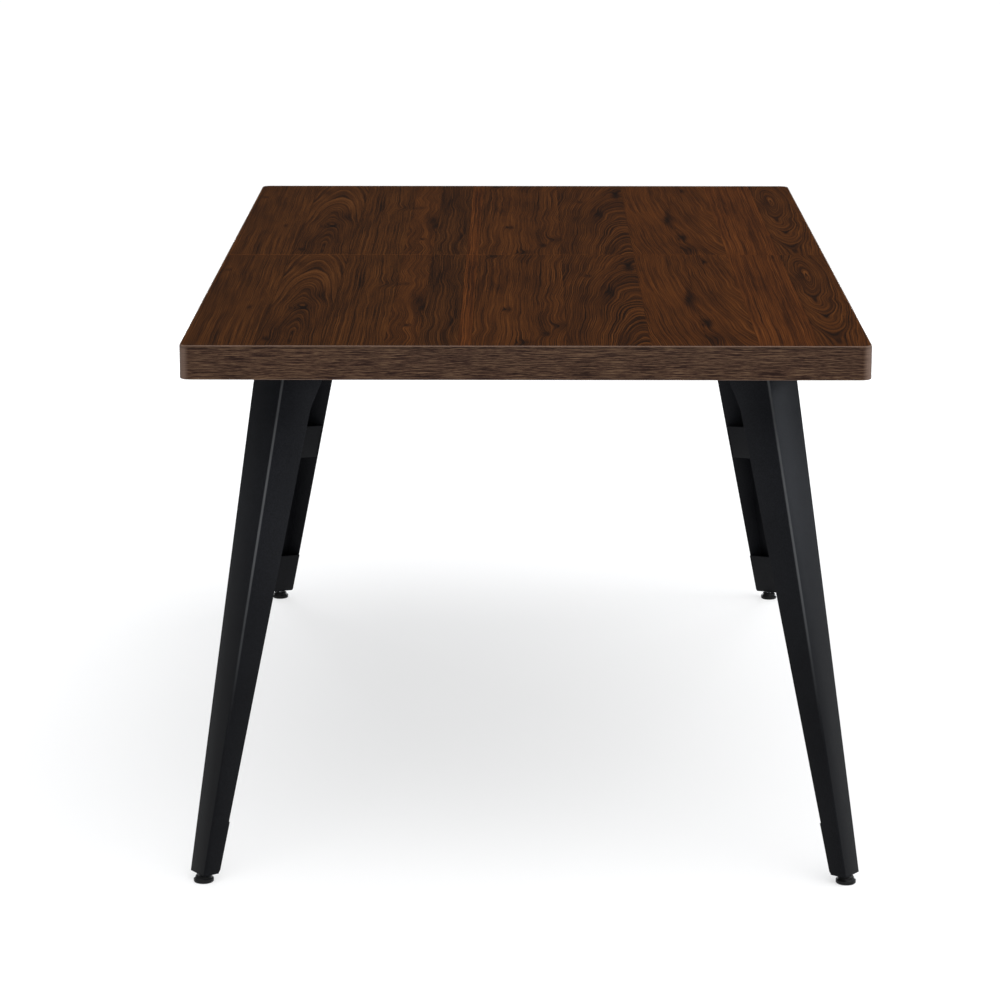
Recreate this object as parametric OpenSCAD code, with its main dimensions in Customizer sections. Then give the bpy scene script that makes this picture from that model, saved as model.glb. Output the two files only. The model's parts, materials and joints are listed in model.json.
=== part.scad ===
// Rectangular dining table: a laminated two-board top, a hidden steel underframe and
// four splayed legs of folded sheet steel, each standing on a screw-in levelling foot.
// Millimetres. Origin on the floor under the middle of the top, X across, Y along, Z up.

/* [Table] */
// Overall length of the top, along Y
top_length = 1524; // [1400:4:1700]
// Overall width of the top, along X
top_width = 914; // [860:2:1000]
// Height of the top face above the floor
table_height = 742; // [720:1:760]
// Thickness of the finished top
top_thickness = 46; // [40:1:50]
// Plan radius of the four corners of the top
corner_radius = 14; // [8:1:24]

/* [Top boards] */
// Thickness of the wood-pattern laminate and of the backing sheet
skin = 1; // [0.6:0.1:1.5]
// Thickness of the edge band
band = 2; // [1:0.1:3]
// Width of the butt joint between the two boards
seam_gap = 0.4; // [0.2:0.1:1]
// Diameter of the alignment dowels across the joint
dowel_d = 10; // [8:1:14]
// Length of the alignment dowels
dowel_length = 60; // [40:2:80]
// Number of alignment dowels
dowel_count = 5; // [3:1:7]

/* [Underframe] */
// Length of the two side rails
rail_length = 1120; // [1000:10:1160]
// Width of the rectangular tube
rail_w = 40; // [30:1:45]
// Depth of the rectangular tube
rail_h = 25; // [20:1:30]
// Wall of the rectangular tube
rail_wall = 2; // [1.5:0.1:2.5]
// Distance of each side rail's centre line from the middle of the table
rail_x = 196; // [160:1:205]
// Distance of the two outer cross beams from the middle of the table
beam_y = 440; // [380:5:470]

/* [Legs] */
// Distance of the fold from the long side of the top, at the underside
leg_inset_side = 132.5; // [124:0.5:138]
// Distance of the fold from the short end of the top, at the underside
leg_inset_end = 91; // [80:1:110]
// Lean of the fold, the same along X and along Y, in degrees
splay = 9.25; // [7:0.25:9.5]
// Turn of the leg's open side away from the table's length, in degrees
leg_turn = 8; // [6:1:14]
// Thickness of the folded sheet
sheet = 2.5; // [2:0.1:3]
// Width of the outer flange at the bottom and at the top
outer_flange = [35, 70];
// Width of the inner flange at the bottom and at the top
inner_flange = [23.5, 56.5];
// Height over which the inner flange flares out under the top
flare_h = 56; // [40:1:70]
// Extra outward slope of the flare
flare_slope = 0.29; // [0.15:0.01:0.35]
// Clear height under the folded leg
leg_bottom = 12.4; // [12:0.1:14]

/* [Leg plates] */
// Length up the slope and thickness of the plate set into the open side halfway up
mid_brace = [60, 2.5];
// Height of the lower edge of that plate above the floor
mid_brace_z = 267; // [200:1:350]
// Length up the slope and thickness of the plate lapped over the open side at the foot
foot_brace = [70, 2];
// Overhang of the foot plate past the free edges of the two flanges
foot_brace_over = 1.8; // [1:0.1:3]
// Radius of the lower corners of the foot plate
foot_brace_r = 3; // [2:0.5:6]
// Thickness of the plate that closes the bottom of the leg
base_t = 3; // [2:0.5:4]
// Length, width and thickness of the plate that carries the leg under the top
mount_plate = [160, 130, 5];
// Spacing of the four bolts of that plate along X and along Y
mount_spacing = [136, 106];

/* [Levelling feet] */
// Diameter of the pad
pad_d = 27.6; // [24:0.2:30]
// Height of the pad's rim and of the whole pad
pad_h = [6.5, 10];
// Diameter of the neck on top of the pad
pad_neck_d = 21; // [16:0.5:24]
// Diameter of the levelling screw
stud_d = 6; // [5:1:6]
// Height of the upper end of the levelling screw
stud_top = 26; // [24:0.5:27]
// Distance of the foot from the fold, along the outer and the inner flange
foot_place = [16.4, 9.4];

/* [Hidden] */
$fn = 64;

steel = "#2b2d2f";
zinc = "#b9bcc0";
walnut = "#5b3a24";

underside = table_height - top_thickness;
half_w = top_width / 2;
half_l = top_length / 2;
drill_slack = 0.1;
cut = 1;

// Leg geometry, worked out for the corner at +X +Y; angles are plan directions from the fold
lean = tan(splay);
leg_h = underside - mount_plate[2] - leg_bottom;
fold_bottom = [half_w - leg_inset_side + lean * leg_h, half_l - leg_inset_end + lean * leg_h];
outer_angle = -45 - leg_turn;
inner_angle = -135 - leg_turn;
flare_r = 60;
flare_steps = 8;
weld_gap = 0.1;
lap_gap = 0.2;
big = 1000;

// The four corners: one name and one pair of mirror flags each
front_left = [true, true];
front_right = [false, true];
rear_left = [true, false];
rear_right = [false, false];
corners = [front_left, front_right, rear_left, rear_right];

mount_centre = [312, 631];
mount_r = 12;
dowel_margin = 90;
insert_d = 12;
insert_l = 20;
insert_sink = 0.2;
bolt_d = 8;
bolt_clearance = 0.6;
washer_clearance = 0.4;
bolt_head = [13, 5];
washer = [17, 1.6];
screw_d = 5;
screw_head = [10, 3];
screw_grip = 28;
frame_screw_y = [60, 220, 380, 520];
beam_screw_x = [60, 140];
seam_plate = [60, 160, 3];
seam_plate_r = 8;
seam_plate_x = 330;
seam_screw_at = [[-18, 35], [18, 35], [-18, 65], [18, 65]];
foot_boss = [8.4, 9];
base_lip = 0.4;
stud_foot = 4;
stud_slack = 0.05;
stud_seat = 0.1;

function unit(a) = [cos(a), sin(a)];
function dot2(a, b) = a[0] * b[0] + a[1] * b[1];
function lerp(pair, k) = pair[0] + (pair[1] - pair[0]) * k;
// Drift of the fold within a flange's plane, per unit of height
function drift(a) = -lean * (cos(a) + sin(a));
// Lean of a flange's plane from the vertical
function tilt(a) = atan(lean * (sin(a) - cos(a)));
function fold_at(z) = fold_bottom - [1, 1] * lean * (z - leg_bottom);
// Free edge of a flange, on its inner side, at a height
function flange_tip(a, widths, side, z) =
  fold_at(z) + unit(a) * lerp(widths, (z - leg_bottom) / leg_h) + unit(side) * sheet;
function outer_tip(z) = flange_tip(outer_angle, outer_flange, inner_angle, z);
function inner_tip(z) = flange_tip(inner_angle, inner_flange, outer_angle, z);

// Line between the two free edges: its span, its direction and its middle
function opening(z) = outer_tip(z) - inner_tip(z);
function opening_angle(z) = atan2(opening(z)[1], opening(z)[0]);
function middle(z) = (outer_tip(z) + inner_tip(z)) / 2;

foot_at = fold_at(leg_bottom) + unit(outer_angle) * foot_place[0]
  + unit(inner_angle) * foot_place[1];

// ---- helpers ----

// Puts a shape modelled at the +X +Y corner at another corner
module at_corner(flags) {
  mirror([flags[0] ? 1 : 0, 0, 0]) mirror([0, flags[1] ? 1 : 0, 0]) children();
}

// Plan of the whole top, smaller all round by inset
module top_plan(inset) {
  r = corner_radius - inset;
  w = half_w - inset;
  l = half_l - inset;
  square([2 * w, 2 * (l - r)], center = true);
  square([2 * (w - r), 2 * l], center = true);
  for (sx = [-1, 1], sy = [-1, 1]) translate([sx * (w - r), sy * (l - r)]) circle(r);
}

// Plan of the rear board, up to the butt joint
module board_plan(inset) {
  intersection() {
    top_plan(inset);
    translate([-big, seam_gap / 2]) square([2 * big, big]);
  }
}

// A cylinder standing at each bolt of the four leg plates
module at_leg_bolts() {
  for (c = corners) at_corner(c) for (sx = [-1, 1], sy = [-1, 1])
    translate([mount_centre[0] + sx * mount_spacing[0] / 2,
               mount_centre[1] + sy * mount_spacing[1] / 2]) children();
}

// The screws that hold the underframe to the boards
module at_frame_screws() {
  for (s = [-1, 1], y = frame_screw_y, t = [-1, 1]) translate([s * rail_x, t * y]) children();
  for (s = [-1, 1], x = beam_screw_x, t = [-1, 1]) translate([s * x, t * beam_y]) children();
}

module at_seam_screws() {
  for (s = [-1, 1], p = seam_screw_at, t = [-1, 1])
    translate([s * seam_plate_x + p[0], t * p[1]]) children();
}

module at_dowels() {
  pitch = (top_width - 2 * dowel_margin) / (dowel_count - 1);
  for (i = [0 : dowel_count - 1]) translate([(i - (dowel_count - 1) / 2) * pitch, 0]) children();
}

// Pilot holes and insert pockets, cut up into the boards from below
module board_holes() {
  translate([0, 0, underside - cut]) {
    at_leg_bolts() cylinder(d = insert_d + drill_slack, h = insert_l + skin + 2 * cut);
    at_frame_screws() cylinder(d = screw_d + drill_slack, h = screw_grip + 2 * cut);
    at_seam_screws() cylinder(d = screw_d + drill_slack, h = screw_grip + 2 * cut);
  }
}

// Plane of a flange: X along it, Y up its slope, Z square to it, from the fold's lower end
module flange_plane(a) {
  translate([fold_bottom[0], fold_bottom[1], leg_bottom])
    rotate([0, 0, a]) rotate([90 - tilt(a), 0, 0]) children();
}

// Rectangular tube along Y, with its upper face against the underside
module tube(length) {
  translate([-rail_w / 2, -length / 2, underside - rail_h]) difference() {
    cube([rail_w, length, rail_h]);
    translate([rail_wall, -cut, rail_wall])
      cube([rail_w - 2 * rail_wall, length + 2 * cut, rail_h - 2 * rail_wall]);
  }
}

module rounded_square(size, r) {
  square([size[0] - 2 * r, size[1]], center = true);
  square([size[0], size[1] - 2 * r], center = true);
  for (sx = [-1, 1], sy = [-1, 1])
    translate([sx * (size[0] / 2 - r), sy * (size[1] / 2 - r)]) circle(r);
}

// ---- top ----

module top_board(flags) {
  color(walnut) difference() {
    at_corner(flags) translate([0, 0, underside + skin])
      linear_extrude(top_thickness - 2 * skin) board_plan(band);
    board_holes();
    at_dowels() translate([0, 0, underside + top_thickness / 2]) rotate([90, 0, 0])
      cylinder(d = dowel_d + drill_slack, h = dowel_length + 2 * cut, center = true);
  }
}

module laminate(flags) {
  color(walnut) at_corner(flags) translate([0, 0, table_height - skin])
    linear_extrude(skin) board_plan(band);
}

module backing(flags) {
  color("#3a2c22") difference() {
    at_corner(flags) translate([0, 0, underside]) linear_extrude(skin) board_plan(band);
    board_holes();
  }
}

module edge_band(flags) {
  color("#6b4a34") at_corner(flags) translate([0, 0, underside])
    linear_extrude(top_thickness) difference() {
      board_plan(0);
      top_plan(band);
    }
}

module seam_dowels() {
  color("#c9a878") at_dowels() translate([0, 0, underside + top_thickness / 2])
    rotate([90, 0, 0]) cylinder(d = dowel_d, h = dowel_length, center = true);
}

// ---- underframe ----

module side_rail(side) {
  color(steel) difference() {
    translate([side * rail_x, 0, 0]) tube(rail_length);
    translate([0, 0, underside - rail_h - cut]) at_frame_screws()
      cylinder(d = screw_d + drill_slack, h = rail_h + 2 * cut);
  }
}

module cross_beam(y) {
  color(steel) difference() {
    translate([0, y, 0]) rotate([0, 0, 90]) tube(2 * rail_x - rail_w);
    translate([0, 0, underside - rail_h - cut]) at_frame_screws()
      cylinder(d = screw_d + drill_slack, h = rail_h + 2 * cut);
  }
}

// Plastic plugs that close the open ends of the side rails
module rail_caps() {
  cap_t = 3;
  plug_l = 12;
  color("#1c1c1d") for (s = [-1, 1], t = [-1, 1])
    translate([s * rail_x, t * (rail_length / 2), underside - rail_h / 2]) {
      translate([0, t * cap_t / 2, 0]) cube([rail_w, cap_t, rail_h], center = true);
      translate([0, -t * plug_l / 2, 0])
        cube([rail_w - 2 * rail_wall - drill_slack, plug_l,
              rail_h - 2 * rail_wall - drill_slack], center = true);
    }
}

// Flat plate across the joint, outside the side rails
module seam_strap(side) {
  color(zinc) difference() {
    translate([side * seam_plate_x, 0, underside - seam_plate[2]])
      linear_extrude(seam_plate[2]) rounded_square(seam_plate, seam_plate_r);
    translate([0, 0, underside - seam_plate[2] - cut]) at_seam_screws()
      cylinder(d = screw_d + drill_slack, h = seam_plate[2] + 2 * cut);
  }
}

// ---- legs ----

module leg_mount_plate(flags) {
  color(steel) difference() {
    at_corner(flags) translate([mount_centre[0], mount_centre[1], underside - mount_plate[2]])
      linear_extrude(mount_plate[2]) rounded_square(mount_plate, mount_r);
    translate([0, 0, underside - mount_plate[2] - cut]) at_leg_bolts()
      cylinder(d = bolt_d + bolt_clearance, h = mount_plate[2] + 2 * cut);
  }
}

// Outline of a flange in its own plane, running past both ends of the leg.
// The flare bends the free edge outwards over an arc and goes on straight.
module flange_outline(a, widths, flare) {
  k = cos(tilt(a));
  past = 20;
  h_kink = leg_h - flare_h;
  w_slope = (widths[1] - widths[0]) / leg_h;
  slope = drift(a) + w_slope;
  blend = flare ? flare_r * flare_slope / 2 : 0;
  top_h = leg_h + past;
  edge_low = widths[0] - past * slope;
  bend = [for (i = [0 : flare_steps])
    let (u = 2 * blend * i / flare_steps, h = h_kink - blend + u)
    [widths[0] + slope * h + flare_slope * u * u / (4 * max(blend, 1)), h / k]];
  edge_top = widths[0] + slope * top_h + (flare ? flare_slope * (top_h - h_kink) : 0);
  polygon(concat([[-past, -past / k], [edge_low, -past / k]], flare ? bend : [],
                 [[edge_top, top_h / k], [drift(a) * top_h - past, top_h / k]]));
}

// Plane over the two free edges at a height: X across, Y up the slope, Z out of the leg
module across_opening(z) {
  a = opening_angle(z);
  rise = atan(dot2(middle(z + 1) - middle(z), unit(a - 90)));
  translate([middle(z)[0], middle(z)[1], z]) rotate([0, 0, a]) rotate([90 + rise, 0, 0])
    children();
}

// Sheet steel folded along the leg's outer edge and open towards the table
module leg(flags) {
  color(steel) at_corner(flags) intersection() {
    union() {
      flange_plane(outer_angle) linear_extrude(sheet)
        flange_outline(outer_angle, outer_flange, false);
      flange_plane(inner_angle) translate([0, 0, -sheet]) linear_extrude(sheet)
        flange_outline(inner_angle, inner_flange, true);
    }
    flange_plane(outer_angle) translate([-big, -big, 0]) cube(2 * big);
    flange_plane(inner_angle) translate([-big, -big, -2 * big]) cube(2 * big);
    translate([0, 0, leg_bottom]) cube([big, big, leg_h]);
  }
}

// The space between the two flanges
module inside_leg() {
  intersection() {
    flange_plane(outer_angle) translate([-big, -big, sheet + weld_gap]) cube(2 * big);
    flange_plane(inner_angle) translate([-big, -big, -2 * big - sheet - weld_gap]) cube(2 * big);
  }
}

// Plate set in flush between the flanges, following their lean
module mid_brace(flags) {
  color(steel) at_corner(flags) intersection() {
    across_opening(mid_brace_z + mid_brace[0] / 2) translate([0, 0, -mid_brace[1] / 2])
      cube([big, mid_brace[0], mid_brace[1]], center = true);
    inside_leg();
  }
}

// Plate lapped over the two free edges and following the leg's taper
module foot_brace(flags) {
  z_mid = leg_bottom + foot_brace[0] / 2;
  l = foot_brace[0] / 2;
  low = opening(z_mid - l);
  high = opening(z_mid + l);
  grow = (norm(high) - norm(low)) / 4;
  w = norm(opening(z_mid)) / 2 + foot_brace_over;
  skew = dot2(middle(z_mid + l) - middle(z_mid), unit(opening_angle(z_mid)));
  color(steel) at_corner(flags) across_opening(z_mid) translate([0, 0, lap_gap])
    linear_extrude(foot_brace[1]) difference() {
      polygon([[-w - skew + grow, -l], [w - skew - grow, -l],
               [w + skew + grow, l], [-w + skew - grow, l]]);
      for (s = [-1, 1]) corner_waste(s, s * (w - grow) - skew, -l, foot_brace_r);
    }
}

// Waste outside a rounded lower corner at x, y
module corner_waste(s, x, y, r) {
  translate([x - s * r, y + r]) difference() {
    translate([s > 0 ? 0 : -2 * r, -2 * r]) square(2 * r);
    circle(r);
  }
}

// Plate welded into the bottom of the leg, with the threaded boss of the levelling screw
module base_plate(flags) {
  color(steel) at_corner(flags) difference() {
    union() {
      intersection() {
        translate([0, 0, leg_bottom + base_lip]) cube([big, big, base_t]);
        inside_leg();
        base_limit();
      }
      translate([foot_at[0], foot_at[1], leg_bottom + base_lip])
        cylinder(d = foot_boss[0], h = foot_boss[1]);
    }
    translate([foot_at[0], foot_at[1], leg_bottom - cut])
      cylinder(d = stud_d + 2 * stud_slack, h = foot_boss[1] + 3 * cut);
  }
}

// Everything on the fold's side of the line between the two free edges
module base_limit() {
  o = outer_tip(leg_bottom);
  i = inner_tip(leg_bottom);
  f = fold_at(leg_bottom);
  linear_extrude(leg_bottom + 2 * base_t)
    polygon([o, i, i + (f - o) * 2, f + (f - (o + i) / 2) * 2, o + (f - i) * 2]);
}

// ---- levelling feet ----

module pad(flags) {
  bevel = 1.2;
  socket = stud_d + 2 * stud_slack;
  color("#18191a") at_corner(flags) translate([foot_at[0], foot_at[1], 0])
    rotate_extrude() polygon([
      [0, 0], [pad_d / 2 - bevel, 0], [pad_d / 2, bevel], [pad_d / 2, pad_h[0] - bevel],
      [pad_neck_d / 2 + bevel, pad_h[0]], [pad_neck_d / 2, pad_h[1]],
      [socket / 2, pad_h[1]], [socket / 2, stud_foot], [0, stud_foot]]);
}

module stud(flags) {
  tip = 0.8;
  color(zinc) at_corner(flags) translate([foot_at[0], foot_at[1], stud_foot + stud_seat])
    rotate_extrude() polygon([
      [0, 0], [stud_d / 2, 0], [stud_d / 2, stud_top - stud_foot - tip],
      [stud_d / 2 - tip, stud_top - stud_foot], [0, stud_top - stud_foot]]);
}

// ---- fasteners ----

// Threaded sleeves pressed into the boards over the leg plates
module leg_inserts() {
  color("#c2a25a") at_leg_bolts() translate([0, 0, underside + insert_sink]) difference() {
    cylinder(d = insert_d, h = insert_l);
    translate([0, 0, -cut]) cylinder(d = bolt_d + drill_slack, h = insert_l + 2 * cut);
  }
}

module leg_washers() {
  color(zinc) at_leg_bolts()
    translate([0, 0, underside - mount_plate[2] - washer[1]]) difference() {
      cylinder(d = washer[0], h = washer[1]);
      translate([0, 0, -cut]) cylinder(d = bolt_d + washer_clearance, h = washer[1] + 2 * cut);
    }
}

// Bolts with round heads and hexagon sockets
module leg_bolts() {
  head_z = underside - mount_plate[2] - washer[1] - bolt_head[1];
  socket = [5, 2.5];
  color("#26272a") at_leg_bolts() translate([0, 0, head_z]) difference() {
    union() {
      cylinder(d = bolt_head[0], h = bolt_head[1]);
      cylinder(d = bolt_d, h = bolt_head[1] + washer[1] + mount_plate[2] + insert_l);
    }
    translate([0, 0, -cut]) cylinder(d = socket[0] / cos(30), h = socket[1] + cut, $fn = 6);
  }
}

// Screw with a round head under the steel and a shank up into the board
module wood_screw(through) {
  drive = [3, 1.5];
  translate([0, 0, underside - through]) difference() {
    union() {
      translate([0, 0, -screw_head[1]]) cylinder(d = screw_head[0], h = screw_head[1]);
      cylinder(d = screw_d, h = through + screw_grip);
    }
    translate([0, 0, -screw_head[1] - cut])
      cylinder(d = drive[0] / cos(30), h = drive[1] + cut, $fn = 6);
  }
}

module frame_screws() {
  color(zinc) at_frame_screws() wood_screw(rail_h);
}

module seam_screws() {
  color(zinc) at_seam_screws() wood_screw(seam_plate[2]);
}

// ---- drawing ----

top_board(front_right);  // top_board_front
top_board(rear_right);  // top_board_rear
laminate(front_right);  // laminate_front
laminate(rear_right);  // laminate_rear
backing(front_right);  // backing_front
backing(rear_right);  // backing_rear
edge_band(front_right);  // edge_band_front
edge_band(rear_right);  // edge_band_rear
seam_dowels();
side_rail(-1);  // side_rail_left
side_rail(1);  // side_rail_right
cross_beam(-beam_y);  // cross_beam_front
cross_beam(0);  // cross_beam_middle
cross_beam(beam_y);  // cross_beam_rear
rail_caps();
seam_strap(-1);  // seam_plate_left
seam_strap(1);  // seam_plate_right
leg_mount_plate(front_left);  // mount_plate_front_left
leg_mount_plate(front_right);  // mount_plate_front_right
leg_mount_plate(rear_left);  // mount_plate_rear_left
leg_mount_plate(rear_right);  // mount_plate_rear_right
leg(front_left);  // leg_front_left
leg(front_right);  // leg_front_right
leg(rear_left);  // leg_rear_left
leg(rear_right);  // leg_rear_right
mid_brace(front_left);  // mid_brace_front_left
mid_brace(front_right);  // mid_brace_front_right
mid_brace(rear_left);  // mid_brace_rear_left
mid_brace(rear_right);  // mid_brace_rear_right
foot_brace(front_left);  // foot_brace_front_left
foot_brace(front_right);  // foot_brace_front_right
foot_brace(rear_left);  // foot_brace_rear_left
foot_brace(rear_right);  // foot_brace_rear_right
base_plate(front_left);  // base_plate_front_left
base_plate(front_right);  // base_plate_front_right
base_plate(rear_left);  // base_plate_rear_left
base_plate(rear_right);  // base_plate_rear_right
leg_inserts();
leg_washers();
leg_bolts();
frame_screws();
seam_screws();
pad(front_left);  // pad_front_left
pad(front_right);  // pad_front_right
pad(rear_left);  // pad_rear_left
pad(rear_right);  // pad_rear_right
stud(front_left);  // stud_front_left
stud(front_right);  // stud_front_right
stud(rear_left);  // stud_rear_left
stud(rear_right);  // stud_rear_right
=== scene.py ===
"""Looks of the dining table: walnut-stave laminate top, black folded-steel legs, levelling feet.

Metres, in the frame of the CAD model: X across the table, Y along it, Z up, floor at 0.
"""

import json
import math
from typing import NamedTuple

import bmesh
import bpy
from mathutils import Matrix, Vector


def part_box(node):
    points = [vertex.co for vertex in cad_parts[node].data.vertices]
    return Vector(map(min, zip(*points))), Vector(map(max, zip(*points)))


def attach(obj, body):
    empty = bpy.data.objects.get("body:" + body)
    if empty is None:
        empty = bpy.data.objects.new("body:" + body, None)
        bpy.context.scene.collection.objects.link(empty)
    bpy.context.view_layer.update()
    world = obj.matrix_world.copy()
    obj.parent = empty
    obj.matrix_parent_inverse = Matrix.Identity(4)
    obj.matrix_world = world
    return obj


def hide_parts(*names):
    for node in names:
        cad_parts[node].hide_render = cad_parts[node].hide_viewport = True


MM = 0.001
STAGE_SIZE = 40.0
CORNERS = ("front_left", "front_right", "rear_left", "rear_right")
BOARDS = ("front", "rear")

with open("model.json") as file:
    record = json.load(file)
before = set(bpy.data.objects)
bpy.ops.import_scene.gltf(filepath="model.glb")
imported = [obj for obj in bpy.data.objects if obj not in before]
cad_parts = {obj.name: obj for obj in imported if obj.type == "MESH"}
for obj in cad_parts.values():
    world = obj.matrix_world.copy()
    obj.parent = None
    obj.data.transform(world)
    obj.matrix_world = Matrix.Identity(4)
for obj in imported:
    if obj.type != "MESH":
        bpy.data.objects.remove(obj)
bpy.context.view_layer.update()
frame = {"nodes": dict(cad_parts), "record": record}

# Measures taken from the CAD model
band_low, band_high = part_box("edge_band_rear")
BOARD_L = band_high.y
TOP_W = 2 * band_high.x
TOP_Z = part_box("laminate_front")[1].z
BAND_MIDDLE = (band_low.z + band_high.z) / 2
BAND_HALF = (band_high.z - band_low.z) / 2

# Radii: corners of the top in plan, its arrises, and the fold of a leg
CORNER_R = 14 * MM
ARRIS = 1.5 * MM
FOLD_R = 3.0 * MM
# How far the cut edges of the smaller pieces are eased
EASE_PLATE = 0.4 * MM
EASE_PAD = 0.5 * MM
EASE_TUBE = 0.7 * MM
EASE_FASTENER = 0.3 * MM
# Degrees between two faces: at most this on a flat face, under this they shade as one surface,
# and over this an edge is eased
FLAT_ANGLE = 0.4
SMOOTH_ANGLE = 32.0
EASED_ANGLE = 25.0
CUT_ANGLE = 40.0  # cut edges of a leg
SQUARE_ANGLE = 60.0  # fold of a leg and arrises of the band
# Vertices closer than this are one, and only the edges along a leg are longer than the other
MERGE_DISTANCE = 0.002 * MM
LEG_LONG = 500 * MM

THREAD_PITCH = 1.0 * MM
THREAD_DEPTH = 0.55 * MM
THREAD_SIDES = 28
THREAD_ROWS = 8  # rows of vertices in one pitch

BEAD_PITCH = 2.4 * MM
BEAD_SIDES = 8
BEAD_ROWS = 4  # rings of vertices in one puddle
TOP_BEAD_R = 1.8 * MM
TOP_BEAD_DROP = 0.8 * MM  # below the plate on top of the leg
BRACE_BEAD_R = 1.1 * MM
BRACE_BEAD_INSET = 0.05  # share of the plate's side left bare at each end
FLANGE_APART = 20 * MM  # rim points of a leg further apart than this are at different corners

CAMERA_AT = (-0.0030, -5.244, 1.5766)
CAMERA_DOWN = 13.094  # degrees below level
CAMERA_TURN = 0.390  # degrees to the left
CAMERA_LENS = 124.7
CAMERA_SENSOR = 36.0

# Darkest to lightest wood
WALNUT = ((0.0, (0.0085, 0.0038, 0.0021)), (0.30, (0.0280, 0.0096, 0.0032)),
          (0.55, (0.0550, 0.0176, 0.0043)), (0.80, (0.0850, 0.0276, 0.0062)),
          (1.0, (0.1160, 0.0400, 0.0098)))
BAND = ((0.0, (0.0155, 0.0066, 0.0046)), (0.35, (0.0385, 0.0186, 0.0130)),
        (0.65, (0.0650, 0.0338, 0.0202)), (1.0, (0.1200, 0.0695, 0.0405)))
# Lighter body of the band, also used as a painted highlight on its arrises and corners
BAND_EDGE_AND_HIGHLIGHT = (0.150, 0.098, 0.074)


# ---------------------------------------------------------------- fold of the legs


def longest_fold():
    """Ends of the outer fold edge of the leg that stands where x and y are positive."""
    mesh = frame["nodes"]["leg_rear_right"].data
    ends = [[mesh.vertices[i].co for i in e.vertices] for e in mesh.edges]
    long_ends = [pair for pair in ends if (pair[0] - pair[1]).length > LEG_LONG]
    low, high = sorted(max(long_ends, key=lambda pair: pair[0].y + pair[1].y), key=lambda c: c.z)
    return low.copy(), high.copy()


FOLD = longest_fold()


# ---------------------------------------------------------------- node helper


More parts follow.
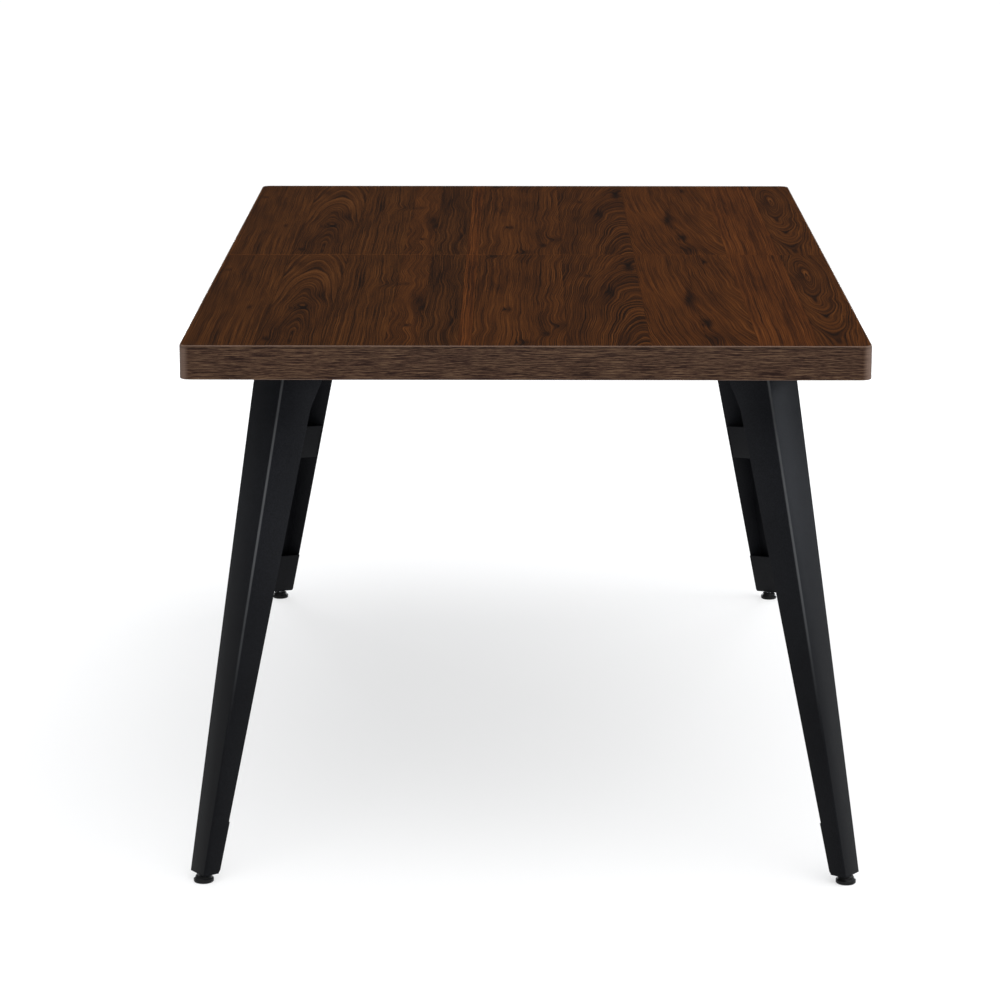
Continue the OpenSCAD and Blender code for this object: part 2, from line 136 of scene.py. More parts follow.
class Nodes:
    """Short calls for building one material's node tree."""

    def __init__(self, name):
        self.mat = bpy.data.materials.new(name)
        self.mat.use_nodes = True
        self.tree = self.mat.node_tree
        self.tree.nodes.clear()
        self.out = self.add("ShaderNodeOutputMaterial")
        self.bsdf = self.add("ShaderNodeBsdfPrincipled")
        self.link(self.bsdf.outputs[0], self.out.inputs["Surface"])

    def add(self, kind):
        return self.tree.nodes.new(kind)

    def link(self, a, b):
        self.tree.links.new(a, b)

    def put(self, socket, value):
        """Links a socket or sets a value; None leaves the input as it is."""
        if isinstance(value, bpy.types.NodeSocket):
            self.link(value, socket)
        elif value is not None:
            socket.default_value = value

    def math(self, op, a, b=None, c=None, clamp=False):
        n = self.add("ShaderNodeMath")
        n.operation = op
        n.use_clamp = clamp
        for i, v in enumerate((a, b, c)):
            self.put(n.inputs[i], v)
        return n.outputs[0]

    def vmath(self, op, a, b=None, c=None):
        n = self.add("ShaderNodeVectorMath")
        n.operation = op
        for i, v in enumerate((a, b, c)):
            self.put(n.inputs[i], v)
        return n.outputs[0]

    def split(self, vector):
        n = self.add("ShaderNodeSeparateXYZ")
        self.put(n.inputs[0], vector)
        return n.outputs[0], n.outputs[1], n.outputs[2]

    def join(self, x=0.0, y=0.0, z=0.0):
        n = self.add("ShaderNodeCombineXYZ")
        for i, v in enumerate((x, y, z)):
            self.put(n.inputs[i], v)
        return n.outputs[0]

    def place(self):
        """The point on the object, in metres."""
        return self.add("ShaderNodeTexCoord").outputs["Object"]

    def noise(self, vector, scale=1.0, detail=2.0, rough=0.5):
        n = self.add("ShaderNodeTexNoise")
        self.put(n.inputs["Vector"], vector)
        n.inputs["Scale"].default_value = scale
        n.inputs["Detail"].default_value = detail
        n.inputs["Roughness"].default_value = rough
        return n.outputs["Fac"]

    def remap(self, value, low, high, to_low=0.0, to_high=1.0, smooth=False):
        """Stretches low..high onto to_low..to_high and holds the ends."""
        n = self.add("ShaderNodeMapRange")
        n.interpolation_type = "SMOOTHSTEP" if smooth else "LINEAR"
        for i, v in enumerate((value, low, high, to_low, to_high)):
            self.put(n.inputs[i], v)
        return n.outputs[0]

    def ramp(self, value, stops):
        """The colour at a value from 0 to 1, between stops of place and colour."""
        n = self.add("ShaderNodeValToRGB")
        while len(n.color_ramp.elements) < len(stops):
            n.color_ramp.elements.new(0.5)
        for e, (at, colour) in zip(n.color_ramp.elements, stops):
            e.position = at
            e.color = (*colour, 1.0)
        self.put(n.inputs[0], value)
        return n.outputs[0]

    def mix(self, factor, a, b, mode="MIX"):
        n = self.add("ShaderNodeMix")
        n.data_type = "RGBA"
        n.blend_type = mode
        self.put(n.inputs[0], factor)
        self.put(n.inputs[6], (*a, 1.0) if isinstance(a, tuple) else a)
        self.put(n.inputs[7], (*b, 1.0) if isinstance(b, tuple) else b)
        return n.outputs[2]

    def bump(self, height, strength, distance):
        n = self.add("ShaderNodeBump")
        n.inputs["Strength"].default_value = strength
        n.inputs["Distance"].default_value = distance
        self.put(n.inputs["Height"], height)
        return n.outputs[0]

    def staircase(self, gates, rows):
        """A vector that steps from one row to the next as each gate opens."""
        total = self.join(*rows[0])
        for gate, before, after in zip(gates, rows, rows[1:]):
            rise = tuple(b - a for a, b in zip(before, after))
            total = self.vmath("MULTIPLY_ADD", gate, rise, total)
        return total

    def spot(self, point, centre, radius):
        """1 at a centre on the board, fading to 0 past an elliptical radius."""
        away = self.vmath("SUBTRACT", point, (*centre, 0.0))
        away = self.vmath("MULTIPLY", away, (1.0 / radius[0], 1.0 / radius[1], 0.0))
        n = self.add("ShaderNodeVectorMath")
        n.operation = "DOT_PRODUCT"
        self.put(n.inputs[0], away)
        self.put(n.inputs[1], away)
        return self.math("EXPONENT", self.math("MULTIPLY", n.outputs["Value"], -1.0))

    def sway(self, vector, scale, detail=2.0):
        """Three independent noises around zero."""
        n = self.add("ShaderNodeTexNoise")
        self.put(n.inputs["Vector"], vector)
        n.inputs["Scale"].default_value = scale
        n.inputs["Detail"].default_value = detail
        return self.vmath("SUBTRACT", n.outputs["Color"], (0.5, 0.5, 0.5))

    def finish(self, colour, rough, normal=None, metallic=0.0, specular=0.5):
        """Fills the shader; metallic and specular are plain values and are never linked."""
        self.put(self.bsdf.inputs["Base Color"], colour)
        self.put(self.bsdf.inputs["Roughness"], rough)
        self.put(self.bsdf.inputs["Normal"], normal)
        self.bsdf.inputs["Metallic"].default_value = metallic
        self.bsdf.inputs["Specular IOR Level"].default_value = specular
        return self.mat


# ---------------------------------------------------------------- materials


# Tints over the plain wood, as red, green and blue
DUSKY = (0.80, 0.85, 0.95)
DULL = (0.90, 0.95, 1.00)
PLAIN = (1.00, 1.00, 1.00)
WARM = (1.15, 1.10, 1.00)
BRIGHT = (1.25, 1.15, 1.05)


class Stave(NamedTuple):
    """One stave of the printed pattern, in millimetres across the board."""

    width: float
    shade: tuple  # one of the tints above
    heart: float  # middle of the growth rings, from the stave's left edge
    eye: float  # middle of the growth rings along the board, from the seam edge
    arch: float  # taper of the rings along the board: 0 straight grain, 0.08 stacked arches
    curl: float  # sideways wander of the grain
    rings: float  # contrast of the growth rings


# From the left edge of the board to the right
STAVES = (
    Stave(100, DULL, -260, 1300, 0.05, 2.0, 0.60),
    Stave(87, DUSKY, 44, 700, 0.075, 3.0, 0.35),
    Stave(33, DULL, -320, 1000, 0.04, 2.0, 0.55),
    Stave(50, DULL, 300, 600, 0.04, 4.0, 0.60),
    Stave(45, PLAIN, 120, 400, 0.06, 9.0, 0.80),
    Stave(52, DUSKY, -160, 1000, 0.05, 7.0, 0.80),
    Stave(18, BRIGHT, -300, 1000, 0.03, 2.0, 0.65),
    Stave(127, PLAIN, 210, 900, 0.07, 6.0, 0.70),
    Stave(110, PLAIN, 105, 1000, 0.090, 4.0, 1.25),
    Stave(75, WARM, 200, -150, 0.125, 3.0, 0.80),
    Stave(68, WARM, 125, -150, 0.125, 4.0, 0.80),
    Stave(80, BRIGHT, -340, 300, 0.05, 2.0, 0.65),
    Stave(69, PLAIN, 26, 215, 0.085, 5.0, 0.75),
)


class Mark(NamedTuple):
    """A knot or a dark flame in the print, in millimetres from the board's left and seam edges."""

    across: float
    along: float
    half_width: float
    half_length: float
    dark: float
    bulge: float = 0.0  # how far the grain is pushed aside around a knot


MARKS = (
    Mark(70, 462, 4, 14, 1.2, 5), Mark(15, 140, 5, 13, 1.0, 4), Mark(3, 380, 9, 160, 0.5),
    Mark(160, 370, 13, 62, 0.7, 3), Mark(140, 482, 16, 20, 0.8, 4), Mark(110, 702, 5, 16, 1.3, 3),
    Mark(116, 90, 7, 30, 0.6), Mark(219, 240, 4, 130, 0.9), Mark(255, 262, 14, 26, 0.3, 9),
    Mark(284, 265, 9, 15, 0.8, 10), Mark(303, 405, 9, 40, 1.1, 7), Mark(312, 470, 5, 36, 1.3),
    Mark(295, 607, 7, 11, 1.0, 7), Mark(328, 230, 3, 90, 0.8), Mark(359, 530, 3, 150, 1.1),
    Mark(417, 312, 5, 45, 0.6), Mark(432, 490, 6, 15, 1.4, 6), Mark(485, 668, 7, 16, 1.3, 10),
    Mark(455, 735, 9, 24, 1.1, 8), Mark(505, 610, 12, 28, 0.6, 9), Mark(548, 200, 5, 12, 1.0, 5),
    Mark(612, 120, 7, 34, 1.5, 3), Mark(580, 330, 7, 38, 1.4, 4), Mark(612, 560, 9, 60, 0.4),
    Mark(690, 400, 6, 80, 1.9, 3), Mark(706, 588, 7, 30, 2.0, 4), Mark(716, 690, 12, 52, 1.0, 5),
    Mark(858, 210, 9, 70, 0.8, 4), Mark(880, 400, 12, 90, 0.5, 5), Mark(728, 60, 4, 26, 0.9, 4),
    Mark(410, 12, 10, 16, 0.9, 8),
)


def walnut_laminate():
    """The print of one board, repeated on the other: staves of walnut laid side by side."""
    m = Nodes("walnut_laminate")
    x, y, _ = m.split(m.place())
    u = m.math("ADD", x, TOP_W / 2)
    v = m.math("WRAP", m.math("MULTIPLY", y, -1.0), BOARD_L, 0.0)
    edges = [MM * sum(s.width for s in STAVES[:i]) for i in range(1, len(STAVES))]
    lefts = [0.0] + edges
    gates = [m.math("GREATER_THAN", u, e) for e in edges]
    tint = m.staircase(gates, [s.shade for s in STAVES])
    left, heart, eye = m.split(m.staircase(gates, [
        (at, at + MM * s.heart, MM * s.eye) for at, s in zip(lefts, STAVES)]))
    arch, curl, rings = m.split(m.staircase(gates, [
        (s.arch, MM * s.curl, s.rings) for s in STAVES]))

    # Slow wander of the whole pattern, different in every stave
    seed = m.math("MULTIPLY", left, 37.0)
    drift = m.sway(m.join(m.math("MULTIPLY", u, 12.0), m.math("MULTIPLY", v, 8.0), seed), 1.0, 0.8)
    drift_u, drift_v, drift_w = m.split(drift)
    marked = m.join(m.math("MULTIPLY_ADD", drift_u, 0.012, u),
                    m.math("MULTIPLY_ADD", drift_v, 0.05, v))

    dark = 0.0
    bulge = 0.0
    for k in MARKS:
        spot = m.spot(marked, (MM * k.across, MM * k.along), (MM * k.half_width, MM * k.half_length))
        dark = m.math("MULTIPLY_ADD", spot, k.dark, dark)
        if k.bulge:
            bulge = m.math("MULTIPLY_ADD", spot, MM * k.bulge, bulge)

    # Distance from the heart of the tree: its contours are the grain lines
    across = m.math("SUBTRACT", u, heart)
    along = m.math("MULTIPLY", m.math("SUBTRACT", v, eye), arch)
    reach = m.math("SQRT", m.math("MULTIPLY_ADD", across, across,
                                  m.math("MULTIPLY", along, along)))
    reach = m.math("MULTIPLY_ADD", drift_w, m.math("MULTIPLY", curl, 3.0), reach)
    reach = m.math("ADD", reach, bulge)

    def streaks(per_metre, along_scale, detail, rough):
        return m.noise(m.join(m.math("MULTIPLY", reach, per_metre),
                              m.math("MULTIPLY", v, along_scale), seed), 1.0, detail, rough)

    bands = streaks(70.0, 1.6, 3.0, 0.55)
    lines = streaks(780.0, 2.4, 3.0, 0.65)
    fibres = streaks(1900.0, 9.0, 3.0, 0.65)
    pores = m.noise(m.join(m.math("MULTIPLY", u, 2100.0), m.math("MULTIPLY", v, 55.0), seed),
                    1.0, 2.0, 0.5)
    cloud = m.noise(m.join(m.math("MULTIPLY", u, 22.0), m.math("MULTIPLY", v, 7.0), seed), 1.0, 3.0)
    turn = m.math("MULTIPLY_ADD", bands, 2.2, m.math("MULTIPLY", reach, 400.0))
    ring = m.math("POWER", m.math("FRACT", turn), 3.0)

    # How light the wood is, 0 to 1
    light = m.math("MULTIPLY_ADD", bands, 0.46, 0.34)
    for part, amount in ((lines, 2.1), (fibres, 1.6), (cloud, 0.35)):
        light = m.math("ADD", light, m.math("MULTIPLY", m.math("SUBTRACT", part, 0.5), amount))
    light = m.math("SUBTRACT", light, m.math("MULTIPLY", m.math("MULTIPLY", ring, rings), 0.5))
    pore = m.remap(pores, 0.62, 0.74)
    light = m.math("SUBTRACT", light, m.math("MULTIPLY", pore, 0.16))
    smear = m.math("MULTIPLY", dark, m.math("MULTIPLY_ADD", lines, 0.9, 0.1))
    light = m.math("SUBTRACT", light, m.math("MULTIPLY", smear, 0.62))
    colour = m.ramp(light, WALNUT)
    colour = m.mix(1.0, colour, tint, "MULTIPLY")

    # Thin dark glue lines between staves
    joint = m.remap(m.math("SUBTRACT", u, left), 0.0004, 0.0016, 0.6, 1.0, smooth=True)
    # Painted highlight: a light line along the eased edges of the butt joint, stronger towards the
    # left
    painted_seam_highlight_gain = m.remap(u, 0.0, TOP_W, 2.3, 1.3)
    seam = m.remap(m.math("ABSOLUTE", y), 0.0008, 0.0024, painted_seam_highlight_gain, 1.0, smooth=True)
    edge = m.math("MULTIPLY", joint, seam)
    colour = m.mix(1.0, colour, m.join(edge, edge, edge), "MULTIPLY")

    height = m.math("MULTIPLY_ADD", fibres, 0.5, m.math("MULTIPLY", pore, -0.6))
    rough = m.math("MULTIPLY_ADD", light, -0.08, m.math("MULTIPLY_ADD", cloud, 0.10, 0.36))
    return m.finish(colour, rough, m.bump(height, 0.18, 0.0003), specular=0.04)


def edge_band():
    """Veneer-look band with the grain running level round the table."""
    m = Nodes("walnut_edge_band")
    x, y, z = m.split(m.place())
    run = m.math("ADD", x, y)
    sway = m.sway(m.join(m.math("MULTIPLY", run, 14.0), m.math("MULTIPLY", z, 40.0)), 1.0, 2.0)
    level = m.math("MULTIPLY_ADD", m.split(sway)[0], 0.005, z)

    def streaks(up, along, detail, rough):
        return m.noise(m.join(m.math("MULTIPLY", run, along), m.math("MULTIPLY", level, up), 0.0),
                       1.0, detail, rough)

    bands = streaks(90.0, 5.0, 3.0, 0.6)
    lines = streaks(1200.0, 24.0, 2.0, 0.6)
    fibres = streaks(2200.0, 90.0, 2.0, 0.6)
    light = m.math("MULTIPLY_ADD", bands, 0.5, 0.21)
    light = m.math("MULTIPLY_ADD", m.math("SUBTRACT", lines, 0.5), 4.4, light)
    light = m.math("MULTIPLY_ADD", m.math("SUBTRACT", fibres, 0.5), 3.0, light)
    colour = m.ramp(light, BAND)
    # At the arrises the cut shows the lighter body of the band, with a painted highlight along them
    from_middle = m.math("ABSOLUTE", m.math("SUBTRACT", z, BAND_MIDDLE))
    cut_arris_and_highlight = m.remap(from_middle, BAND_HALF - 1.6 * MM, BAND_HALF - 0.5 * MM, 0.0, 0.75, smooth=True)
    # and a painted highlight on the corners, where the band bends round them
    bend_x = m.remap(m.math("ABSOLUTE", x), TOP_W / 2 - CORNER_R, TOP_W / 2 - 3 * MM, smooth=True)
    bend_y = m.remap(m.math("ABSOLUTE", y), BOARD_L - CORNER_R, BOARD_L - 3 * MM, smooth=True)
    painted_corner_highlight = m.math("MULTIPLY", m.math("MULTIPLY", bend_x, bend_y), m.remap(lines, 0.3, 0.6, 0.6, 1.6))
    colour = m.mix(m.math("MAXIMUM", cut_arris_and_highlight, painted_corner_highlight, clamp=True), colour, BAND_EDGE_AND_HIGHLIGHT)
    # with a darker painted shade line just below the top arris
    painted_shade_line = m.remap(m.math("ABSOLUTE", m.math("SUBTRACT", z, TOP_Z - 3.0 * MM)), 0.4 * MM, 1.8 * MM,
                   0.72, 1.0, smooth=True)
    colour = m.mix(1.0, colour, m.join(painted_shade_line, painted_shade_line, painted_shade_line), "MULTIPLY")
    rough = m.math("MULTIPLY_ADD", lines, 0.16, 0.36)
    return m.finish(colour, rough, m.bump(fibres, 0.15, 0.0003), specular=0.06)


def powder_coat(name, sheen):
    """Black powder coat with a fine orange-peel skin, smoother along the folds, with a painted
    highlight on the folds and painted light towards the top.
    """
    m = Nodes(name)
    p = m.place()
    x, y, z = m.split(p)
    peel = m.noise(p, 650.0, 2.0, 0.6)
    cloud = m.noise(p, 9.0, 4.0, 0.6)
    speck = m.remap(m.noise(p, 2400.0, 1.0, 0.5), 0.66, 0.78)
    low, high = FOLD
    climb = m.math("DIVIDE", m.math("SUBTRACT", z, low.z), high.z - low.z)
    off_x = m.math("SUBTRACT", m.math("ABSOLUTE", x), m.remap(climb, 0.0, 1.0, low.x, high.x))
    off_y = m.math("SUBTRACT", m.math("ABSOLUTE", y), m.remap(climb, 0.0, 1.0, low.y, high.y))
    away = m.math("SQRT", m.math("MULTIPLY_ADD", off_x, off_x, m.math("MULTIPLY", off_y, off_y)))
    # Smoother along the folds, with a painted highlight on them that fades out low down
    fold_polish_and_painted_glint = m.remap(away, 1.2 * MM, 3.4 * MM, 1.0, 0.0, smooth=True)
    fold_polish_and_painted_glint = m.math("MULTIPLY", fold_polish_and_painted_glint, m.remap(climb, 0.25, 0.75, 0.0, 1.0, smooth=True))
    fold_polish_and_painted_glint = m.math("MULTIPLY", fold_polish_and_painted_glint, m.remap(cloud, 0.3, 0.6, 0.6, 1.0))
    colour = m.ramp(cloud, ((0.3, (0.0064, 0.0068, 0.0083)), (0.7, (0.0093, 0.0098, 0.0116))))
    # Painted light and shade: darker low down and lighter towards the top
    painted_top_light = m.remap(z, 0.22, 0.64, 0.74, 1.45, smooth=True)
    colour = m.mix(1.0, colour, m.join(painted_top_light, painted_top_light, painted_top_light), "MULTIPLY")
    grit = m.remap(peel, 0.35, 0.65, 0.72, 1.28)
    colour = m.mix(1.0, colour, m.join(grit, grit, grit), "MULTIPLY")
    colour = m.mix(m.math("MULTIPLY", speck, 0.4), colour, (0.036, 0.037, 0.040))
    # Painted highlight along the folds
    colour = m.mix(fold_polish_and_painted_glint, colour, (0.085, 0.088, 0.092))
    rough = m.math("MULTIPLY_ADD", cloud, 0.14, m.remap(peel, 0.3, 0.7, 0.28, 0.40))
    rough = m.math("MULTIPLY_ADD", fold_polish_and_painted_glint, -0.10, rough)
    return m.finish(colour, rough, m.bump(peel, 0.45, 0.0003), specular=sheen)


def black_plastic():
    """Moulded plastic with a fine grit and scuffs."""
    m = Nodes("black_plastic")
    p = m.place()
    grit = m.noise(p, 1800.0, 2.0, 0.6)
    scuff = m.remap(m.noise(p, 260.0, 4.0, 0.7), 0.55, 0.75)
    colour = m.ramp(grit, ((0.3, (0.0075, 0.0075, 0.0078)), (0.7, (0.0120, 0.0120, 0.0124))))
    colour = m.mix(m.math("MULTIPLY", scuff, 0.3), colour, (0.028, 0.028, 0.028))
    return m.finish(colour, m.math("MULTIPLY_ADD", scuff, 0.15, 0.36), m.bump(grit, 0.2, 0.0001),
                    specular=0.10)


def zinc():
    """Zinc plate with fine turned marks and dull patches."""
    m = Nodes("zinc_plate")
    p = m.place()
    spangle = m.noise(p, 220.0, 3.0, 0.5)
    dull = m.remap(m.noise(p, 60.0, 4.0, 0.7), 0.45, 0.7)
    colour = m.ramp(spangle, ((0.3, (0.40, 0.41, 0.43)), (0.7, (0.58, 0.59, 0.61))))
    colour = m.mix(m.math("MULTIPLY", dull, 0.5), colour, (0.30, 0.31, 0.33))
    return m.finish(colour, m.math("MULTIPLY_ADD", dull, 0.18, 0.30),
                    m.bump(m.noise(p, 1500.0, 2.0), 0.1, 0.0001), metallic=1.0)


def brass():
    """Brass with a faint cast mottle."""
    m = Nodes("brass_plate")
    p = m.place()
    cast = m.noise(p, 400.0, 3.0, 0.5)
    colour = m.ramp(cast, ((0.3, (0.42, 0.31, 0.13)), (0.7, (0.56, 0.44, 0.20))))
    return m.finish(colour, m.remap(cast, 0.3, 0.7, 0.34, 0.48), m.bump(cast, 0.2, 0.0001),
                    metallic=1.0)


def beech():
    """Beech with the grain along Y, the length of the dowels."""
    m = Nodes("beech_dowel")
    x, y, z = m.split(m.place())
    grain = m.noise(m.join(m.math("MULTIPLY", x, 900.0), m.math("MULTIPLY", y, 30.0),
                           m.math("MULTIPLY", z, 900.0)), 1.0, 3.0, 0.6)
    colour = m.ramp(grain, ((0.3, (0.30, 0.17, 0.08)), (0.7, (0.46, 0.30, 0.16))))
    return m.finish(colour, 0.6, m.bump(grain, 0.2, 0.0002), specular=0.3)


def backing():
    """Dark paper backing with roller marks and smudges."""
    m = Nodes("backing_sheet")
    p = m.place()
    x, y, z = m.split(p)
    fibre = m.noise(p, 500.0, 3.0, 0.6)
    roller = m.noise(m.join(m.math("MULTIPLY", x, 90.0), m.math("MULTIPLY", y, 2.5), z), 1.0, 4.0, 0.6)
    smudge = m.remap(m.noise(p, 7.0, 4.0, 0.65), 0.5, 0.75)
    tone = m.math("MULTIPLY_ADD", roller, 0.5, m.math("MULTIPLY", fibre, 0.5))
    colour = m.ramp(tone, ((0.35, (0.020, 0.015, 0.012)), (0.65, (0.034, 0.026, 0.020))))
    colour = m.mix(m.math("MULTIPLY", smudge, 0.35), colour, (0.052, 0.044, 0.037))
    rough = m.math("MULTIPLY_ADD", smudge, 0.12, 0.62)
    return m.finish(colour, rough, m.bump(fibre, 0.15, 0.0002), specular=0.3)


def board_core():
    """Pressed wood chips."""
    m = Nodes("board_core")
    p = m.place()
    chip = m.noise(p, 260.0, 4.0, 0.7)
    colour = m.ramp(chip, ((0.3, (0.20, 0.12, 0.06)), (0.7, (0.36, 0.24, 0.13))))
    return m.finish(colour, 0.8, m.bump(chip, 0.3, 0.0004), specular=0.2)


MATERIALS = {
    "walnut_laminate": walnut_laminate(),
    "walnut_edge_band": edge_band(),
    "black_steel": powder_coat("black_powder_coat", 0.045),
    "black_plastic": black_plastic(),
    "zinc_steel": zinc(),
    "zinc_brass": brass(),
    "backing_sheet": backing(),
    "board_core": board_core(),
    "beech_dowel": beech(),
}
BRACE_COAT = powder_coat("brace_powder_coat", 0.11)
SLOT_OF = {s["node"]: s["material_slot"] for s in frame["record"]["subparts"]}


# ---------------------------------------------------------------- finished pieces


def body_of_node(node):
    """The body that a node belongs to: a moving one, or else the table."""
    for body, members in frame["record"]["behaviour"]["bodies"].items():
        if node in members:
            return body
    return "table"


def clean_copy(node):
    """The CAD solid as a clean mesh of flat faces, without the import's split vertices."""
    bm = bmesh.new()
    bm.from_mesh(frame["nodes"][node].data)
    bmesh.ops.remove_doubles(bm, verts=bm.verts, dist=MERGE_DISTANCE)
    bmesh.ops.dissolve_limit(bm, angle_limit=math.radians(FLAT_ANGLE), verts=bm.verts, edges=bm.edges)
    return bm


def sharp_bevel(bm, width, segments, angle, keep=None):
    """Rounds the edges sharper than an angle."""
    edges = [e for e in bm.edges if len(e.link_faces) == 2
             and e.calc_face_angle(0.0) > math.radians(angle) and (keep is None or keep(e))]
    bmesh.ops.bevel(bm, geom=edges, offset=width, offset_type="OFFSET", segments=segments,
                    profile=0.5, affect="EDGES", clamp_overlap=True)


def as_piece(bm, node, material=None):
    """A finished piece that stands for a CAD node and rides with it."""
    mesh = bpy.data.meshes.new(node + "_finished")
    bm.normal_update()
    for e in bm.edges:
        e.smooth = len(e.link_faces) == 2 and e.calc_face_angle(0.0) < math.radians(SMOOTH_ANGLE)
    for f in bm.faces:
        f.smooth = True
    bm.to_mesh(mesh)
    bm.free()
    obj = bpy.data.objects.new(node + "_finished", mesh)
    bpy.context.scene.collection.objects.link(obj)
    mesh.materials.append(material or MATERIALS[SLOT_OF[node]])
    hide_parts(node)
    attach(obj, body_of_node(node))


def finished(node, width, segments=2, material=None):
    """A CAD solid with its sharp edges eased."""
    bm = clean_copy(node)
    sharp_bevel(bm, width, segments, EASED_ANGLE)
    as_piece(bm, node, material)


def outside(point):
    """How far a point lies outside the rounded plan of the top, in metres."""
    dx = abs(point.x) - TOP_W / 2 + CORNER_R
    dy = abs(point.y) - BOARD_L + CORNER_R
    return math.hypot(max(dx, 0.0), max(dy, 0.0)) + min(max(dx, dy), 0.0) - CORNER_R


def finished_band(node):
    """The edge band with its two outer arrises eased."""
    bm = clean_copy(node)
    sharp_bevel(bm, ARRIS, 4, SQUARE_ANGLE, lambda e: all(outside(v.co) > -0.5 * MM for v in e.verts)
                and abs(e.verts[0].co.z - e.verts[1].co.z) < 0.1 * MM)
    as_piece(bm, node)


def near_fold(point):
    """How far a point lies from the outer fold line of its leg, level, in metres."""
    low, high = FOLD
    at = low.lerp(high, (point.z - low.z) / (high.z - low.z))
    return math.hypot(abs(point.x) - at.x, abs(point.y) - at.y)


def finished_leg(node):
    """A leg with its fold rolled to a radius and its cut edges eased."""
    bm = clean_copy(node)
    sharp_bevel(bm, FOLD_R, 6, SQUARE_ANGLE, lambda e: all(near_fold(v.co) < 0.3 * MM for v in e.verts)
                and e.calc_length() > LEG_LONG)
    sharp_bevel(bm, EASE_PLATE, 2, CUT_ANGLE)
    as_piece(bm, node)


def skin(bm, rings):
    """Joins rings of vertices into a closed tube."""
    around = len(rings[0])
    for one, two in zip(rings, rings[1:]):
        for j in range(around):
            k = (j + 1) % around
            bm.faces.new((one[j], one[k], two[k], two[j]))
    bm.faces.new(tuple(reversed(rings[0])))
    bm.faces.new(tuple(rings[-1]))


def threaded_stud(node):
    """The levelling screw with its helical thread."""
    low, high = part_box(node)
    centre = (low + high) / 2
    outer = (high.x - low.x) / 2
    rows = round((high.z - low.z) / THREAD_PITCH * THREAD_ROWS)
    bm = bmesh.new()
    rings = []
    for i in range(rows + 1):
        z = low.z + (high.z - low.z) * i / rows
        ring = []
        for j in range(THREAD_SIDES):
            phase = ((z - low.z) / THREAD_PITCH - j / THREAD_SIDES) % 1.0
            depth = 1.0 if i in (0, rows) else 1.0 - abs(2.0 * phase - 1.0)
            r = outer - THREAD_DEPTH * depth
            turn = 2 * math.pi * j / THREAD_SIDES
            ring.append(bm.verts.new((centre.x + r * math.cos(turn),
                                      centre.y + r * math.sin(turn), z)))
        rings.append(ring)
    skin(bm, rings)
    as_piece(bm, node)


def bead(name, start, end, radius):
    """A straight weld bead, swelling and narrowing from puddle to puddle."""
    axis = (end - start).normalized()
    side = axis.orthogonal().normalized()
    up = axis.cross(side)
    steps = round((end - start).length / BEAD_PITCH * BEAD_ROWS)
    bm = bmesh.new()
    rings = []
    for i in range(steps + 1):
        swell = 0.35 if i in (0, steps) else 0.82 + 0.18 * abs(math.cos(math.pi * i / BEAD_ROWS))
        turns = [2 * math.pi * j / BEAD_SIDES for j in range(BEAD_SIDES)]
        rings.append([bm.verts.new(start.lerp(end, i / steps) + radius * swell
                                   * (side * math.cos(t) + up * math.sin(t))) for t in turns])
    skin(bm, rings)
    bmesh.ops.recalc_face_normals(bm, faces=bm.faces)
    for f in bm.faces:
        f.smooth = True
    mesh = bpy.data.meshes.new(name)
    bm.to_mesh(mesh)
    bm.free()
    obj = bpy.data.objects.new(name, mesh)
    bpy.context.scene.collection.objects.link(obj)
    mesh.materials.append(MATERIALS["black_steel"])
    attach(obj, "table")


def top_welds(corner):
    """Beads along the outer faces of a leg, under its plate."""
    points = [v.co.copy() for v in frame["nodes"]["leg_" + corner].data.vertices]
    top = max(p.z for p in points)
    rim = [p for p in points if p.z > top - 0.1 * MM]
    fold = min(rim, key=near_fold)
    inward = Vector((-fold.x, -fold.y, 0.0))
    far = sorted((p for p in rim if (p - fold).length > FLANGE_APART),
                 key=lambda p: (p - fold).angle(inward))
    ends = [far[-1], [p for p in far if (p - far[-1]).length > FLANGE_APART][-1]]
    drop = Vector((0.0, 0.0, TOP_BEAD_DROP))
    for way, end in zip(("long", "short"), sorted(ends, key=lambda p: -(p - fold).length)):
        bead("weld_%s_%s" % (way, corner), fold - drop, end - drop, TOP_BEAD_R)


def brace_welds(corner):
    """Beads down both sides of the plate that closes the leg halfway up."""
    bm = clean_copy("mid_brace_" + corner)
    faces = sorted(bm.faces, key=lambda f: f.calc_area())[-2:]
    inner = min(faces, key=lambda f: f.calc_center_median().xy.length)
    heights = sorted((v.co.copy() for v in inner.verts), key=lambda p: p.z)
    bm.free()
    for side, low in zip(("left", "right"), sorted(heights[:2], key=lambda p: p.x)):
        high = min(heights[-2:], key=lambda p: (p - low).length)
        bead("weld_brace_%s_%s" % (side, corner), low.lerp(high, BRACE_BEAD_INSET),
             low.lerp(high, 1.0 - BRACE_BEAD_INSET), BRACE_BEAD_R)


for c in CORNERS:
    finished_leg("leg_" + c)
    for part in ("mid_brace_", "foot_brace_"):
        finished(part + c, EASE_PLATE, material=BRACE_COAT)
    for part in ("mount_plate_", "base_plate_"):
        finished(part + c, EASE_PLATE)
    finished("pad_" + c, EASE_PAD, segments=3)
    threaded_stud("stud_" + c)
    top_welds(c)
    brace_welds(c)
for b in BOARDS:
    finished_band("edge_band_" + b)
for n in ("side_rail_left", "side_rail_right", "cross_beam_front", "cross_beam_middle",
          "cross_beam_rear", "seam_plate_left", "seam_plate_right", "rail_caps"):
    finished(n, EASE_TUBE)
for n in ("leg_bolts", "leg_washers", "frame_screws", "seam_screws"):
    finished(n, EASE_FASTENER)

for name, node in frame["nodes"].items():
    if not node.hide_render:
        node.data.materials.clear()
        node.data.materials.append(MATERIALS[SLOT_OF[name]])


# ---------------------------------------------------------------- studio


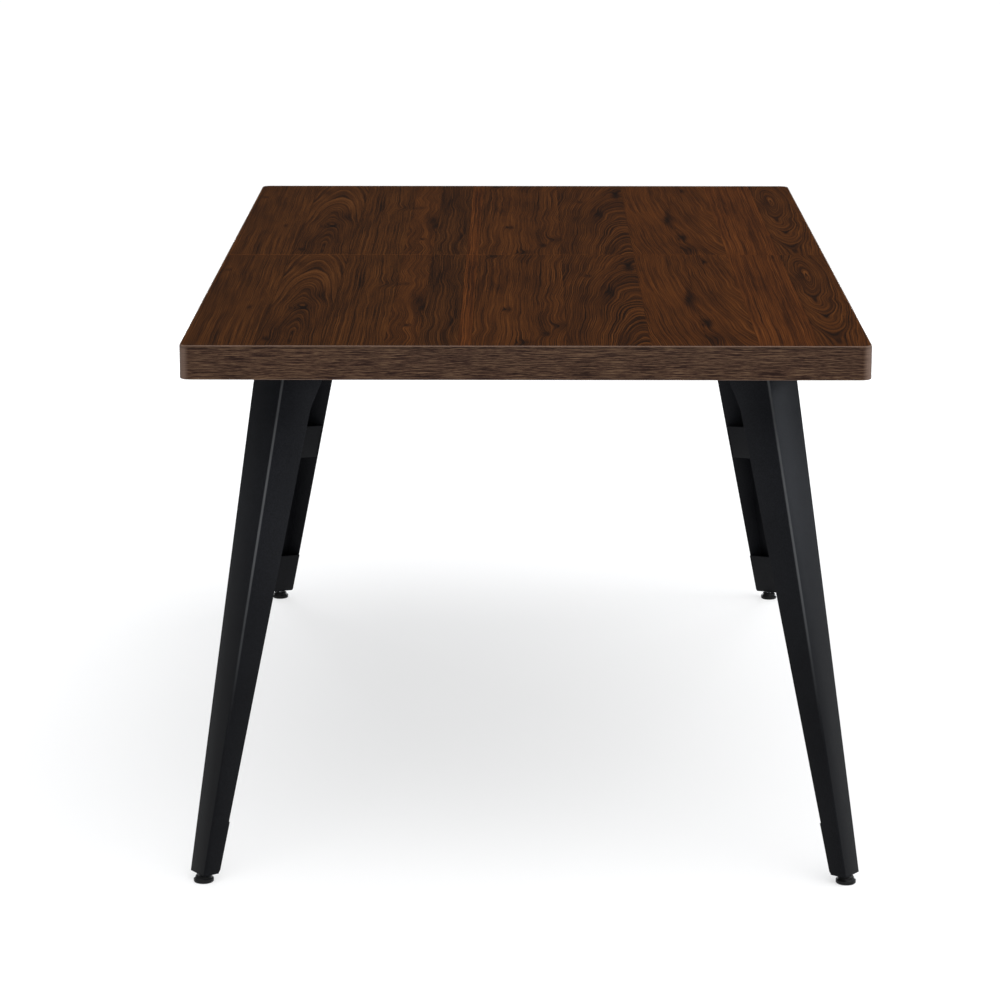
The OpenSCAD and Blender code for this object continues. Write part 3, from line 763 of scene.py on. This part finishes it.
def sky():
    """Light from all round: dark low down, so nothing pale is mirrored in the top."""
    world = bpy.data.worlds.new("studio")
    bpy.context.scene.world = world
    world.use_nodes = True
    tree = world.node_tree
    back = tree.nodes["Background"]
    back.inputs["Color"].default_value = (0.93, 0.96, 1.0, 1.0)
    place = tree.nodes.new("ShaderNodeTexCoord")
    split = tree.nodes.new("ShaderNodeSeparateXYZ")
    climb = tree.nodes.new("ShaderNodeMapRange")
    climb.inputs["From Min"].default_value = 0.40
    climb.inputs["From Max"].default_value = 0.95
    climb.inputs["To Min"].default_value = 0.03
    climb.inputs["To Max"].default_value = 0.90
    tree.links.new(place.outputs["Generated"], split.inputs[0])
    tree.links.new(split.outputs["Z"], climb.inputs["Value"])
    tree.links.new(climb.outputs[0], back.inputs["Strength"])


def room():
    """The floor, and a pale wall all round that only the camera sees."""
    ground = bmesh.new()
    bmesh.ops.create_grid(ground, x_segments=8, y_segments=8, size=STAGE_SIZE)
    stage_piece("floor", ground, 0.62)
    dome = bmesh.new()
    bmesh.ops.create_uvsphere(dome, u_segments=48, v_segments=24, radius=STAGE_SIZE)
    wall = stage_piece("backdrop", dome, 0.97)
    wall.visible_diffuse = False
    wall.visible_glossy = False
    wall.visible_transmission = False
    wall.visible_shadow = False


def soft_sun():
    """The main light: a wide sun from high up."""
    sun = bpy.data.lights.new("soft_sun", "SUN")
    sun.energy = 2.6
    sun.angle = math.radians(70.0)
    lamp = bpy.data.objects.new("soft_sun", sun)
    lamp.rotation_euler = (math.radians(20.0), math.radians(18.0), 0.0)
    bpy.context.scene.collection.objects.link(lamp)


def stage_piece(name, bm, glow):
    """Part of the pale studio, lifted towards white by its own glow."""
    mesh = bpy.data.meshes.new(name)
    bm.to_mesh(mesh)
    bm.free()
    obj = bpy.data.objects.new(name, mesh)
    bpy.context.scene.collection.objects.link(obj)
    m = Nodes(name)
    dust = m.noise(m.place(), 0.7, 3.0, 0.5)
    shade = m.ramp(dust, ((0.3, (0.35, 0.35, 0.35)), (0.7, (0.37, 0.37, 0.37))))
    m.bsdf.inputs["Emission Color"].default_value = (1.0, 1.0, 1.0, 1.0)
    m.bsdf.inputs["Emission Strength"].default_value = glow
    mesh.materials.append(m.finish(shade, 0.8, specular=0.1))
    return obj


def area_light(name, at, target, size, energy, colour):
    """A rectangular lamp at one point, aimed at another."""
    light = bpy.data.lights.new(name, "AREA")
    light.shape = "RECTANGLE"
    light.size, light.size_y = size
    light.energy = energy
    light.color = colour
    lamp = bpy.data.objects.new(name, light)
    lamp.location = at
    lamp.rotation_euler = (Vector(target) - Vector(at)).to_track_quat("-Z", "Y").to_euler()
    lamp.visible_camera = False
    bpy.context.scene.collection.objects.link(lamp)


def camera():
    """Long lens at standing height in front of the short end, a little above the top."""
    cam = bpy.data.cameras.new("camera")
    cam.sensor_width = CAMERA_SENSOR
    cam.lens = CAMERA_LENS
    cam.clip_end = 200.0
    obj = bpy.data.objects.new("camera", cam)
    obj.location = CAMERA_AT
    obj.rotation_euler = (math.radians(90.0 - CAMERA_DOWN), 0.0, math.radians(CAMERA_TURN))
    bpy.context.scene.collection.objects.link(obj)
    bpy.context.scene.camera = obj


sky()
room()
soft_sun()
area_light("side_softbox", (3.4, 0.2, 1.15), (0.45, -0.75, 0.60), (1.1, 1.1), 30.0, (0.88, 0.93, 1.0))
area_light("front_softbox", (0.3, -7.4, 1.25), (0.0, -0.8, 0.5), (1.6, 1.2), 60.0, (1.0, 0.99, 0.97))
for side in (-1.0, 1.0):
    area_light("rear_softbox", (1.7 * side, 3.4, 0.36), (0.4 * side, 0.7, 0.36), (1.2, 0.5), 50.0,
               (0.95, 0.97, 1.0))
camera()
bpy.context.scene.view_settings.view_transform = "Standard"
